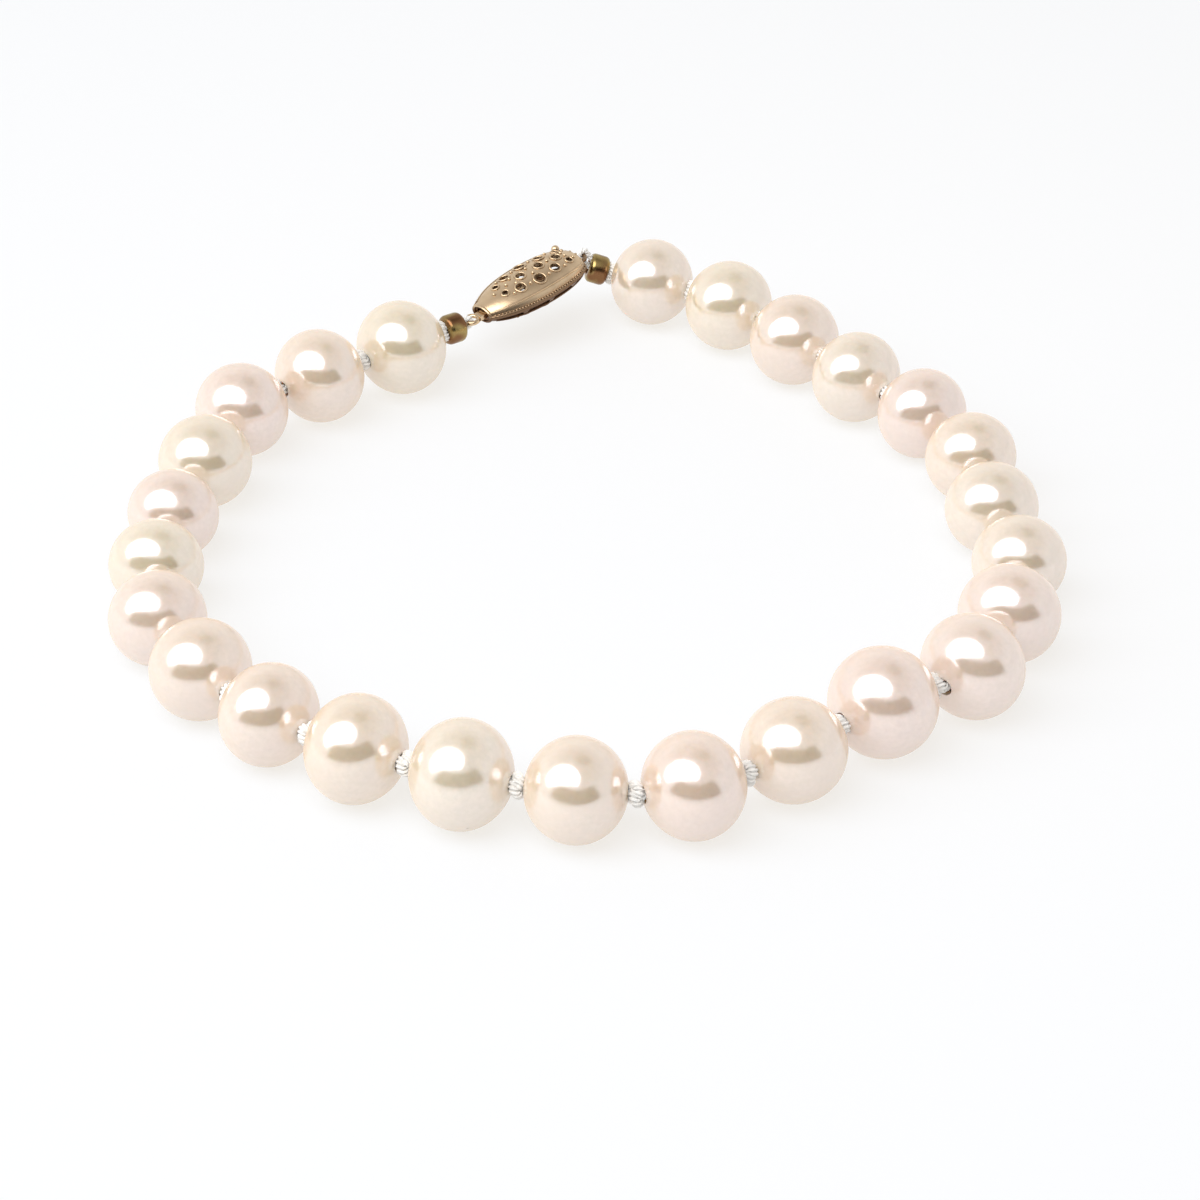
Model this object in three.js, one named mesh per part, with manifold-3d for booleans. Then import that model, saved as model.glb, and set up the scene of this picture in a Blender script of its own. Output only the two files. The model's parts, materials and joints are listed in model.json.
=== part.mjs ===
// A bracelet of round pearls on hand-knotted silk, closed by an oval filigree fish-hook clasp.
// Millimetres, +Z up. It lies on z = 0 as one loop, with the clasp at the back (+Y) and the
// origin below the middle of its bounding box. Each pearl is turned about its own thread axis.
import * as THREE from 'three';
import { mergeVertices } from 'three/addons/utils/BufferGeometryUtils.js';
import Module from 'manifold-3d';

const wasm = await Module();
wasm.setup();

// ---- driving dimensions ----------------------------------------------------------------------

const BORE_DIAMETER = 0.8;      // drilled hole through each pearl
const THREAD_DIAMETER = 0.5;
const KNOT_GAP = 0.65;          // clear length of silk between two pearls
const KNOT = { length: 0.44, diameter: 1.5 };
const LOOP = { radius: 0.35, thread: 0.26 };     // the silk's turn round each clasp ring
const SILK_BEND = 0.12;         // how far outside an end bead the silk turns towards the clasp

const END_BEAD = { length: 1.5, diameter: 2.2, faceDiameter: 1.6, bore: 1.1 };

const CASE = { wall: 0.35, flatness: 0.6, sides: 16 };        // height is flatness times width
const RING = { radius: 0.5, wire: 0.34, mouthGap: 0.38, solderedIn: 0.42, beadGap: 0.32 };
const TONGUE = {
  thickness: 0.4,
  neckWidth: 0.7,
  neckInside: 0.2,      // how far the straight neck runs on inside the mouth
  shoulder: 0.6,        // length of the slope from the neck out to the lower leg
  legWidth: 0.42,
  legOffset: 0.5,
  turnX: 1.2,
  tipX: -2.5,
};
const CATCH_PIN = { x: -2.9, y: 0.5, diameter: 0.44, height: 1.7 };

// The case's ring stands this much above its bead, and that bead leans up by this slope.
const CASE_RISE = 1.15;
const BEAD_LEAN = 0.35;

// Facets round a pearl's axis (even, so that one lies flat on the table) and along it (odd).
const PEARL_SIDES = 14;
const PEARL_BANDS = 7;

// One row for each pearl, from the clasp's hook end round the front to its case end.
// "length" is the size along the thread as a share of the diameter, so 1 is a true ball.
const PEARLS = [
  { diameter: 6.8, length: 0.93 },
  { diameter: 6.7, length: 0.93 },
  { diameter: 6.6, length: 0.96 },
  { diameter: 6.4, length: 1 },
  { diameter: 6.1, length: 0.94 },
  { diameter: 6.2, length: 0.9 },
  { diameter: 6.3, length: 0.92 },
  { diameter: 6.5, length: 0.96 },
  { diameter: 6.5, length: 0.9 },
  { diameter: 6.8, length: 0.9 },
  { diameter: 6.8, length: 0.92 },
  { diameter: 6.5, length: 0.96 },
  { diameter: 6.6, length: 0.95 },
  { diameter: 6.5, length: 1 },
  { diameter: 7.0, length: 0.96 },
  { diameter: 6.8, length: 0.89 },
  { diameter: 6.6, length: 0.9 },
  { diameter: 6.2, length: 0.95 },
  { diameter: 6.3, length: 0.95 },
  { diameter: 6.3, length: 0.93 },
  { diameter: 6.4, length: 0.92 },
  { diameter: 6.5, length: 0.92 },
  { diameter: 6.6, length: 0.95 },
  { diameter: 6.6, length: 0.95 },
  { diameter: 6.4, length: 0.95 },
];

// The way the string lies on the table, from the first pearl round to the clasp case.
const ROUTE = [
  { x: -13.5, y: 21.0 },
  { x: -24.0, y: 12.5 },
  { x: -26.0, y: 5.5 },
  { x: -27.5, y: -1.5 },
  { x: -27.0, y: -13.5 },
  { x: -19.0, y: -24.0 },
  { x: -7.5, y: -30.0 },
  { x: 6.0, y: -31.0 },
  { x: 17.5, y: -23.0 },
  { x: 23.0, y: -19.5 },
  { x: 27.5, y: -8.0 },
  { x: 26.5, y: -1.0 },
  { x: 26.0, y: 5.0 },
  { x: 23.5, y: 11.0 },
  { x: 19.0, y: 16.5 },
  { x: 10.5, y: 27.0 },
  { x: 5.0, y: 31.0 },
  { x: -1.0, y: 33.0 },
];

// Sections across the clasp case, from its mouth to its closed end.
const CASE_SECTIONS = [
  { x: -4.5, halfWidth: 0.95 },
  { x: -3.7, halfWidth: 1.5 },
  { x: -2.2, halfWidth: 2.05 },
  { x: 0.2, halfWidth: 2.3 },
  { x: 2.6, halfWidth: 2.15 },
  { x: 4.0, halfWidth: 1.75 },
  { x: 4.8, halfWidth: 1.2 },
];

// Piercings of the filigree, through both faces; a row off the long axis is made on both sides.
const PIERCINGS = [
  { x: -0.6, y: 0, radius: 0.34 },
  { x: 1.2, y: 0, radius: 0.34 },
  { x: 2.9, y: 0, radius: 0.34 },
  { x: -1.4, y: 0.95, radius: 0.36 },
  { x: 0.3, y: 1.15, radius: 0.42 },
  { x: 2.0, y: 0.95, radius: 0.36 },
];

// ---- materials -------------------------------------------------------------------------------

const NACRE = { color: '#f3e6dc', roughness: 0.22, metalness: 0 };
const SILK = { color: '#faf7ef', roughness: 0.75, metalness: 0 };
const GOLD = { color: '#c79a62', roughness: 0.35, metalness: 1 };

// ---- helpers ---------------------------------------------------------------------------------

const UP = new THREE.Vector3(0, 0, 1);
const point = (x, y, z = 0) => new THREE.Vector3(x, y, z);

function meshOf(name, geometry, finish) {
  const mesh = new THREE.Mesh(geometry, new THREE.MeshStandardMaterial(finish));
  mesh.name = name;
  return mesh;
}

function toSolid(geometry) {
  const bare = geometry.clone();
  bare.deleteAttribute('normal');
  bare.deleteAttribute('uv');
  const merged = mergeVertices(bare, 1e-5);
  const vertProperties = new Float32Array(merged.attributes.position.array);
  const triVerts = new Uint32Array(merged.index.array);
  return new wasm.Manifold(new wasm.Mesh({ numProp: 3, vertProperties, triVerts }));
}

function toGeometry(solid) {
  const { vertProperties, triVerts } = solid.getMesh();
  const geometry = new THREE.BufferGeometry();
  geometry.setAttribute('position', new THREE.BufferAttribute(vertProperties, 3));
  geometry.setIndex(new THREE.BufferAttribute(triVerts, 1));
  return geometry;
}

function joined(geometries) {
  return geometries.map(toSolid).reduce((sum, next) => sum.add(next));
}

function cut(geometry, tools) {
  return tools.map(toSolid).reduce((rest, tool) => rest.subtract(tool), toSolid(geometry));
}

// Lays a shape's own Y axis along "direction", with its Z axis as near upright as that allows.
function turnAlong(direction) {
  const along = direction.clone().normalize();
  const side = new THREE.Vector3().crossVectors(along, UP).normalize();
  const top = new THREE.Vector3().crossVectors(side, along);
  return new THREE.Matrix4().makeBasis(side, along, top);
}

function laidAlong(geometry, direction, centre) {
  return geometry.applyMatrix4(turnAlong(direction)).translate(centre.x, centre.y, centre.z);
}

function strand(from, to, diameter) {
  const span = new THREE.Vector3().subVectors(to, from);
  const middle = new THREE.Vector3().lerpVectors(from, to, 0.5);
  return laidAlong(new THREE.CylinderGeometry(diameter / 2, diameter / 2, span.length(), 6), span, middle);
}

function ringGeometry(radius, wire, steps) {
  return new THREE.TorusGeometry(radius, wire / 2, 6, steps);
}

// ---- where everything lies on the string -----------------------------------------------------

const mouthX = CASE_SECTIONS[0].x;
const endX = CASE_SECTIONS.at(-1).x;
const ringReach = RING.radius + RING.wire / 2;
const hookRingX = mouthX - RING.mouthGap - ringReach;
const caseRingX = endX + ringReach - RING.solderedIn;
const ringToBead = ringReach + RING.beadGap;
const claspSpan = caseRingX - hookRingX + 2 * ringToBead;

const reachAlong = (pearl) => pearl.diameter * pearl.length / 2;

// The share of the curve's length at which it is "chord" away, straight across, from "from".
function stepAlong(curve, from, start, chord) {
  let near = start;
  let far = Math.min(1, start + 2 * chord / curve.getLength());
  for (let turn = 0; turn < 40; turn += 1) {
    const middle = (near + far) / 2;
    if (curve.getPointAt(middle).distanceTo(from) < chord) {
      near = middle;
    } else {
      far = middle;
    }
  }
  return near;
}

// The pearls threaded one after another along the route, each resting on the table. A pearl's
// axis runs parallel to the line between its two neighbours.
function threaded(scale) {
  const corners = ROUTE.map(({ x, y }) => point(x * scale, y * scale));
  const curve = new THREE.CatmullRomCurve3(corners, false, 'centripetal');
  curve.arcLengthDivisions = 2000;
  const stops = [0];
  for (let index = 1; index < PEARLS.length; index += 1) {
    const chord = reachAlong(PEARLS[index - 1]) + KNOT_GAP + reachAlong(PEARLS[index]);
    const from = stops.at(-1);
    stops.push(stepAlong(curve, curve.getPointAt(from), from, chord));
  }
  const places = stops.map((stop) => curve.getPointAt(stop));
  return PEARLS.map((pearl, index) => {
    const before = places[index - 1];
    const after = places[index + 1];
    const along = before && after ? after.clone().sub(before) : curve.getTangentAt(stops[index]);
    const centre = places[index].clone().setZ(pearl.diameter / 2);
    return { ...pearl, centre, axis: along.normalize() };
  });
}

// Each end bead follows a knot, and is turned half-way from its pearl's axis to the clasp's.
// "lean" is its slope upwards.
function endBeadPlace(pearl, outward, toClasp, lean) {
  const level = new THREE.Vector3().addVectors(outward, toClasp).normalize();
  const axis = level.addScaledVector(UP, lean).normalize();
  const knot = pearl.centre.clone().addScaledVector(outward, reachAlong(pearl) + KNOT_GAP / 2);
  const centre = knot.clone().addScaledVector(axis, (KNOT_GAP + END_BEAD.length) / 2);
  const face = centre.clone().addScaledVector(axis, END_BEAD.length / 2);
  return { axis, knot, centre, face };
}

function claspPlace(pearls) {
  const first = pearls[0];
  const last = pearls.at(-1);
  const across = new THREE.Vector3().subVectors(last.centre, first.centre).normalize();
  const hookBead = endBeadPlace(first, first.axis.clone().negate(), across, 0);
  const caseBead = endBeadPlace(last, last.axis, across.clone().negate(), BEAD_LEAN);
  const line = caseBead.face.clone().addScaledVector(UP, CASE_RISE).sub(hookBead.face);
  const axis = line.clone().normalize();
  const centre = hookBead.face.clone().addScaledVector(axis, ringToBead - hookRingX);
  return { hookBead, caseBead, centre, axis, room: line.length() };
}

// The route is drawn in or let out until the clasp just fills the room that the string leaves.
function closedString() {
  let small = 0.9;
  let large = 1.1;
  for (let turn = 0; turn < 40; turn += 1) {
    const middle = (small + large) / 2;
    if (claspPlace(threaded(middle)).room > claspSpan) {
      large = middle;
    } else {
      small = middle;
    }
  }
  const pearls = threaded(small);
  return { pearls, clasp: claspPlace(pearls) };
}

// ---- pearls and silk -------------------------------------------------------------------------

// The facets touch the true round at their middles, so the lowest one lies flat on the table.
function pearlGeometry({ diameter, length }) {
  const boreAngle = Math.asin(BORE_DIAMETER / diameter);
  const band = (Math.PI - 2 * boreAngle) / PEARL_BANDS;
  const cornerRadius = diameter / 2 / Math.cos(Math.PI / PEARL_SIDES) / Math.cos(band / 2);
  const profile = [];
  for (let ring = 0; ring <= PEARL_BANDS; ring += 1) {
    const angle = boreAngle + ring * band;
    const isMouth = ring === 0 || ring === PEARL_BANDS;
    const radius = isMouth ? BORE_DIAMETER / 2 : cornerRadius * Math.sin(angle);
    profile.push(new THREE.Vector2(radius, -diameter * length / 2 * Math.cos(angle)));
  }
  profile.push(profile[0].clone());
  return new THREE.LatheGeometry(profile, PEARL_SIDES, Math.PI / PEARL_SIDES);
}

function pearlMesh(pearl, index) {
  const number = String(index + 1).padStart(2, '0');
  const mesh = meshOf(`pearl_${number}`, pearlGeometry(pearl), NACRE);
  mesh.position.copy(pearl.centre);
  mesh.quaternion.setFromRotationMatrix(turnAlong(pearl.axis));
  return mesh;
}

// The middle of the gap that follows a pearl along the string, or of the one before it.
const toGap = (pearl) => reachAlong(pearl) + KNOT_GAP / 2;
const gapAfter = (pearl) => pearl.centre.clone().addScaledVector(pearl.axis, toGap(pearl));
const gapBefore = (pearl) => pearl.centre.clone().addScaledVector(pearl.axis, -toGap(pearl));

function knotGeometry(centre, direction) {
  const knot = new THREE.SphereGeometry(KNOT.diameter / 2, 8, 4);
  return laidAlong(knot.scale(1, KNOT.length / KNOT.diameter, 1), direction, centre);
}

// The knot beside an end bead, turned half-way between the pearl's axis and the bead's.
function endKnot(bead, outward) {
  return knotGeometry(bead.knot, new THREE.Vector3().addVectors(outward, bead.axis));
}

// From the last knot through the end bead, and round the clasp ring that lies at "ringX".
function silkEnd({ centre, axis }, bead, ringX, outward) {
  const wire = centre.clone().addScaledVector(axis, ringX + outward * RING.radius);
  const tail = wire.clone().addScaledVector(axis, outward * (LOOP.radius + LOOP.thread / 4));
  const bend = bead.face.clone().addScaledVector(bead.axis, SILK_BEND);
  const loop = ringGeometry(LOOP.radius, LOOP.thread, 12).rotateY(Math.PI / 2);
  return [
    laidAlong(loop, axis, wire),
    strand(tail, bend, THREAD_DIAMETER),
    strand(bend, bead.knot, THREAD_DIAMETER),
  ];
}

function silkThread({ pearls, clasp }) {
  const pieces = pearls.map((pearl) => strand(gapBefore(pearl), gapAfter(pearl), THREAD_DIAMETER));
  pieces.push(endKnot(clasp.hookBead, pearls[0].axis.clone().negate()));
  for (let index = 1; index < pearls.length; index += 1) {
    const before = pearls[index - 1];
    const after = pearls[index];
    const centre = gapAfter(before).lerp(gapBefore(after), 0.5);
    pieces.push(knotGeometry(centre, new THREE.Vector3().addVectors(before.axis, after.axis)));
  }
  pieces.push(endKnot(clasp.caseBead, pearls.at(-1).axis));
  pieces.push(...silkEnd(clasp, clasp.hookBead, hookRingX, -1));
  pieces.push(...silkEnd(clasp, clasp.caseBead, caseRingX, 1));
  return meshOf('silk_thread', toGeometry(joined(pieces)), SILK);
}

// ---- clasp -----------------------------------------------------------------------------------

function endBead(name, { centre, axis }) {
  const half = END_BEAD.length / 2;
  const profile = [
    new THREE.Vector2(END_BEAD.bore / 2, -half),
    new THREE.Vector2(END_BEAD.faceDiameter / 2, -half),
    new THREE.Vector2(END_BEAD.diameter / 2, -half / 3),
    new THREE.Vector2(END_BEAD.diameter / 2, half / 3),
    new THREE.Vector2(END_BEAD.faceDiameter / 2, half),
    new THREE.Vector2(END_BEAD.bore / 2, half),
    new THREE.Vector2(END_BEAD.bore / 2, -half),
  ];
  const mesh = meshOf(name, new THREE.LatheGeometry(profile, 12), GOLD);
  mesh.position.copy(centre);
  mesh.quaternion.setFromRotationMatrix(turnAlong(axis));
  return mesh;
}

// A flattened hollow spindle along X, open at its mouth and closed at its other end.
function caseShell() {
  const outer = CASE_SECTIONS.map(({ x, halfWidth }) => new THREE.Vector2(halfWidth, x));
  const inner = outer.slice(0, -1).map(({ x, y }) => new THREE.Vector2(x - CASE.wall, y));
  const profile = [
    new THREE.Vector2(0, endX - CASE.wall),
    ...inner.reverse(),
    ...outer,
    new THREE.Vector2(0, endX),
  ];
  const shell = new THREE.LatheGeometry(profile, CASE.sides, Math.PI / CASE.sides);
  return shell.rotateZ(-Math.PI / 2).scale(1, 1, CASE.flatness);
}

function uprightCylinder({ x, y, diameter, height }) {
  const cylinder = new THREE.CylinderGeometry(diameter / 2, diameter / 2, height, 8);
  return cylinder.rotateX(Math.PI / 2).translate(x, y, 0);
}

// The shell is pierced first, then gets the ring soldered to its end and the pin across its
// inside that holds the tongue.
function claspCase() {
  const height = 2 * Math.max(...CASE_SECTIONS.map(({ halfWidth }) => halfWidth));
  const drills = PIERCINGS.flatMap(({ x, y, radius }) => {
    const sides = y === 0 ? [0] : [y, -y];
    return sides.map((side) => uprightCylinder({ x, y: side, diameter: 2 * radius, height }));
  });
  const ring = ringGeometry(RING.radius, RING.wire, 14).translate(caseRingX, 0, 0);
  const added = [ring, uprightCylinder(CATCH_PIN)].map(toSolid);
  const solid = added.reduce((sum, next) => sum.add(next), cut(caseShell(), drills));
  return meshOf('clasp_case', toGeometry(solid), GOLD);
}

// A flat tongue bent back on itself like a fish hook, with its ring outside the mouth.
function claspHook() {
  const { neckWidth, neckInside, shoulder, legWidth, legOffset, turnX, tipX, thickness } = TONGUE;
  const outside = legOffset + legWidth / 2;
  const inside = legOffset - legWidth / 2;
  const neckStart = hookRingX + RING.radius;
  const neckEnd = mouthX + neckInside;
  const outline = new THREE.Shape();
  outline.moveTo(neckStart, -neckWidth / 2);
  outline.lineTo(neckEnd, -neckWidth / 2);
  outline.lineTo(neckEnd + shoulder, -outside);
  outline.lineTo(turnX, -outside);
  outline.absarc(turnX, 0, outside, -Math.PI / 2, Math.PI / 2, false);
  outline.lineTo(tipX, outside);
  outline.lineTo(tipX, inside);
  outline.lineTo(turnX, inside);
  outline.absarc(turnX, 0, inside, Math.PI / 2, -Math.PI / 2, true);
  outline.lineTo(neckEnd + shoulder, -inside);
  outline.lineTo(neckEnd + shoulder / 2, neckWidth / 2);
  outline.lineTo(neckStart, neckWidth / 2);
  const flat = { depth: thickness, bevelEnabled: false, curveSegments: 5 };
  const tongue = new THREE.ExtrudeGeometry(outline, flat);
  const ring = ringGeometry(RING.radius, RING.wire, 14).translate(hookRingX, 0, 0);
  const solid = joined([tongue.translate(0, 0, -thickness / 2), ring]);
  return meshOf('clasp_hook', toGeometry(solid), GOLD);
}

// Both halves share one frame whose X axis runs from the hook's ring to the case's ring.
function claspGroup({ centre, axis }) {
  const group = new THREE.Group();
  group.add(claspCase(), claspHook());
  group.position.copy(centre);
  const fromY = new THREE.Matrix4().makeRotationZ(Math.PI / 2);
  group.quaternion.setFromRotationMatrix(turnAlong(axis).multiply(fromY));
  return group;
}

// ---- the bracelet ----------------------------------------------------------------------------

const string = closedString();
const bracelet = new THREE.Group();
bracelet.add(...string.pearls.map(pearlMesh));
bracelet.add(silkThread(string));
bracelet.add(endBead('end_bead_hook', string.clasp.hookBead));
bracelet.add(endBead('end_bead_case', string.clasp.caseBead));
bracelet.add(claspGroup(string.clasp));

const middle = new THREE.Box3().setFromObject(bracelet, true).getCenter(new THREE.Vector3());
bracelet.position.set(-middle.x, -middle.y, 0);

const model = new THREE.Group();
model.add(bracelet);
export default model;
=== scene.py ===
"""Models and finishes a hand-knotted pearl bracelet with a filigree fish-hook clasp."""

import json
import math
from collections import namedtuple

import bmesh
import bpy
import numpy as np
from bpy.props import FloatProperty, FloatVectorProperty, IntProperty, PointerProperty
from mathutils import Matrix, Vector


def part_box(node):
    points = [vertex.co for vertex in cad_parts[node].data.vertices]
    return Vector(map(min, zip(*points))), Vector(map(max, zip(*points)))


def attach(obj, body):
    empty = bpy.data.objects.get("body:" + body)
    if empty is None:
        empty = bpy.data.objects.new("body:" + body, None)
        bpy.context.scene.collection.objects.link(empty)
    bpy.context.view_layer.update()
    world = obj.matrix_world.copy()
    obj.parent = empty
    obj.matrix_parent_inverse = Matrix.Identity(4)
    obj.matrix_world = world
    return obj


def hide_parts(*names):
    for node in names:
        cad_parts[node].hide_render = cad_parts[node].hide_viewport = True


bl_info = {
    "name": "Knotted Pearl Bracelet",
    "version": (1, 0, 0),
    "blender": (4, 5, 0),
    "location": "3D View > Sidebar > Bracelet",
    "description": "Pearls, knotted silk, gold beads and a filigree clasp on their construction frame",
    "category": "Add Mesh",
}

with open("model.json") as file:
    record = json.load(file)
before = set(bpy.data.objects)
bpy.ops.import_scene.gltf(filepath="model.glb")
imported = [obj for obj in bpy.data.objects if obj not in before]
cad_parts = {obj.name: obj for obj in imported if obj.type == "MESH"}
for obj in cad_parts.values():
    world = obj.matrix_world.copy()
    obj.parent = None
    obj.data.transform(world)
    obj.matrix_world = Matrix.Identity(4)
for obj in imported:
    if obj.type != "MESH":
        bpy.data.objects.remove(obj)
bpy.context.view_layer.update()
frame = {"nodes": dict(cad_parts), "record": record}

MM = 0.001
UP = Vector((0, 0, 1))
TURN = 2 * math.pi
GOLDEN_ANGLE = math.pi * (3 - math.sqrt(5))
# Name of the attribute that marks painted shade: the lower half of the clasp's case is darkened as if it
# lay in shade.
PAINTED_SHADE_ATTRIBUTE = "painted_shade"

# How near two points are merged, the sharpest edge that is shaded smooth, the level of the
# growth texture at which a pearl keeps its size, and the silk's plies: how many sides each
# has, and how much wider it is than plies that only touch.
WELD = 0.00001
SMOOTH_ANGLE = math.radians(40)
GROWTH_LEVEL = 0.7
PLY_SIDES = 8
PLY_SWELL = 1.35

SLOTS = {part["node"]: part["material_slot"] for part in frame["record"]["subparts"]}
PEARL_NODES = sorted(node for node in frame["nodes"] if node.startswith("pearl_"))

# How each pearl leans from its slot's colour, from the clasp's hook round to its case.
# "rose" runs from greenish cream at -1 to rose at 1, and the fullness from pale at -1 to full at 1; the
# fullness is partly each pearl's own tone and partly painted light, set paler on pearls that come out less
# lit.
TONES = [
    {"rose": -0.7, "depth": 0.1},
    {"rose": 0.1, "depth": 0.1},
    {"rose": 0.3, "depth": 0.1},
    {"rose": -0.4, "depth": 0.1},
    {"rose": 0.3, "depth": 0.1},
    {"rose": -0.6, "depth": -0.1},
    {"rose": 0.0, "depth": 0.1},
    {"rose": 0.2, "depth": 0.0},
    {"rose": 0.3, "depth": 0.1},
    {"rose": -0.4, "depth": 0.1},
    {"rose": -0.2, "depth": -0.3},
    {"rose": -0.1, "depth": 0.0},
    {"rose": 0.1, "depth": 0.5},
    {"rose": 0.0, "depth": 0.2},
    {"rose": 0.4, "depth": 0.2},
    {"rose": 0.1, "depth": -0.1},
    {"rose": 0.2, "depth": 0.0},
    {"rose": 0.3, "depth": 0.0},
    {"rose": 0.1, "depth": -0.2},
    {"rose": -0.1, "depth": 0.1},
    {"rose": 0.3, "depth": 0.0},
    {"rose": 0.0, "depth": -0.2},
    {"rose": 0.3, "depth": 0.1},
    {"rose": -0.5, "depth": 0.1},
    {"rose": 0.3, "depth": -0.1},
]


# ---- sizes and colours that a user may change ------------------------------------------------


def length(label, text, millimetres):
    """A size property, given in millimetres and kept in metres."""
    return FloatProperty(
        name=label, description=text, default=millimetres * MM, min=0, precision=5, unit="LENGTH"
    )


def share(label, text, value):
    return FloatProperty(
        name=label, description=text, default=value, min=0, max=1, subtype="FACTOR"
    )


def colour(label, text, value):
    return FloatVectorProperty(
        name=label, description=text, default=value, min=0, max=1, size=3, subtype="COLOR"
    )


class BraceletSizes(bpy.types.PropertyGroup):
    bore: length("Bore", "Diameter of the hole drilled through each pearl", 0.8)
    bore_edge: length("Bore edge", "Rounding of the edge of the drilled hole", 0.05)
    growth: length("Growth", "Height of a pearl's uneven skin from hollow to swell", 0.06)
    growth_width: length("Growth width", "Width of one swell of a pearl's skin", 3.6)
    thread: length("Thread", "Diameter of the twisted silk inside the pearls", 0.62)
    loop_thread: length("Loop thread", "Diameter of the silk round the clasp's rings", 0.4)
    knot_thread: length("Knot thread", "Diameter of the silk where it is pulled into a knot", 0.56)
    knot_width: length("Knot width", "Width of a knot across the thread", 1.7)
    knot_length: length("Knot length", "Length of a knot along the thread", 0.95)
    twist: length("Twist", "Length of one turn of the silk's plies", 1.1)
    plies: IntProperty(name="Plies", description="Strands twisted into the silk", default=3, min=2)
    bead_length: length("Bead length", "Length of a gold bead along the thread", 1.5)
    bead_width: length("Bead width", "Diameter of a gold bead", 2.2)
    bead_face: length("Bead face", "Diameter of a gold bead's flat end", 1.4)
    bead_bore: length("Bead bore", "Diameter of the hole through a gold bead", 1.1)


class ClaspSizes(bpy.types.PropertyGroup):
    wall: length("Wall", "Thickness of the case's sheet", 0.26)
    flatness: share("Flatness", "Height of the case as a share of its width", 0.6)
    rim_wire: length("Rim wire", "Thickness of the wire round the seam of the case", 0.3)
    scroll_wire: length("Scroll wire", "Thickness of the filigree wires", 0.15)
    grain: length("Grain", "Diameter of the small gold grains", 0.28)
    milgrain: length("Milgrain", "Diameter of the beading along the rim", 0.22)
    knob: length("Knob", "Diameter of the knob beside the closed end", 0.62)
    border_wire: length("Border wire", "Thickness of the wire inside the rim", 0.16)
    ring: length("Ring", "Radius of the ring on each half, to its wire's middle", 0.5)
    ring_wire: length("Ring wire", "Thickness of the rings' wire", 0.34)
    tongue: length("Tongue", "Thickness of the hook's flat tongue", 0.4)


class NacreLook(bpy.types.PropertyGroup):
    cream: colour("Cream", "Body colour of the cream pearls", (0.852, 0.75, 0.59))
    peach: colour("Peach", "Body colour of the peach pearls", (0.862, 0.732, 0.578))
    rose: colour("Rose", "Body colour of the rose pearls", (0.862, 0.722, 0.604))
    lustre: FloatProperty(
        name="Lustre", description="Refractive index that stands for the nacre's many layers",
        default=4.5, min=1,
    )
    satin: share("Satin", "Roughness of the nacre under its outer skin", 0.18)
    skin: share("Skin", "Roughness of the outer skin", 0.09)


class MetalLook(bpy.types.PropertyGroup):
    clasp: colour("Clasp gold", "Rose-beige gold of the clasp", (0.78, 0.585, 0.375))
    bead: colour("Bead gold", "Yellow gold of the two small beads", (0.42, 0.31, 0.12))
    amber: colour("Amber", "Red-brown tint over parts of the two small beads", (0.24, 0.12, 0.055))
    # This colour is the real tarnish deep in the filigree, and also the painted shade on the lower half of
    # the case.
    tarnish_and_painted_shade: colour("Tarnish", "Colour of the metal deep in the filigree", (0.16, 0.085, 0.045))
    silk: colour("Silk", "Colour of the silk", (0.98, 0.965, 0.93))


class StudioSettings(bpy.types.PropertyGroup):
    eye: FloatVectorProperty(
        name="Eye", description="Place of the camera", default=(0.0005, -0.1843, 0.1179),
        size=3, precision=5, subtype="TRANSLATION", unit="LENGTH",
    )
    pitch: FloatProperty(
        name="Pitch", description="How far down the camera looks",
        default=math.radians(33.55), subtype="ANGLE",
    )
    yaw: FloatProperty(
        name="Yaw", description="How far to the right the camera looks",
        default=math.radians(0.09), subtype="ANGLE",
    )
    lens: FloatProperty(
        name="Lens", description="Focal length on a 36 mm sensor, in millimetres", default=97.7
    )
    softbox_power: FloatProperty(
        name="Softbox", description="Power of the overhead softbox", default=5.0, min=0,
        unit="POWER",
    )
    room: FloatProperty(
        name="Room", description="Brightness of the pale room around the table", default=0.88, min=0
    )
    # The table's own colour is kept low and bluish under a warm glow, so that the shadows on it come out
    # warm: painted shade.
    floor: colour("Floor", "Colour of the table", (0.19, 0.223, 0.275))
    # The glow is painted light: the table itself emits, with no lamp under it, and lifts the shadows under
    # the pieces.
    glow: FloatProperty(
        name="Glow", description="Light that comes up through the table", default=0.74, min=0
    )


# ---- where the frame puts the pieces ---------------------------------------------------------

Place = namedtuple("Place", "node centre axis diameter length")


def points_of(node):
    return np.array([tuple(vertex.co) for vertex in frame["nodes"][node].data.vertices])


def centre_of(node):
    low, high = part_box(node)
    return (low + high) / 2


def thread_axis(node, onward):
    """The line of the hole: the one direction in which a pearl or bead spreads unlike the others."""
    spread, directions = np.linalg.eigh(np.cov(points_of(node).T))
    odd = 0 if spread[1] - spread[0] > spread[2] - spread[1] else 2
    axis = Vector(directions[:, odd])
    return axis if axis.dot(onward) > 0 else -axis


def string_places(bore):
    """The place of each pearl along the string, in order from the clasp's hook to its case."""
    chain = ["end_bead_hook", *PEARL_NODES, "end_bead_case"]
    places = []
    for before, node, after in zip(chain, chain[1:], chain[2:]):
        centre = centre_of(node)
        axis = thread_axis(node, centre_of(after) - centre_of(before))
        low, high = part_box(node)
        diameter = high.z - low.z
        mouth = max(abs((points_of(node) - np.array(centre)) @ np.array(axis)))
        whole = 2 * mouth / math.cos(math.asin(bore / diameter))
        places.append(Place(node, centre, axis, diameter, whole))
    return places


def bead_place(node, pearl, sizes):
    onward = centre_of(node) - pearl.centre
    axis = thread_axis(node, onward)
    return Place(node, centre_of(node), axis, sizes.bead_width, sizes.bead_length)


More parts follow.
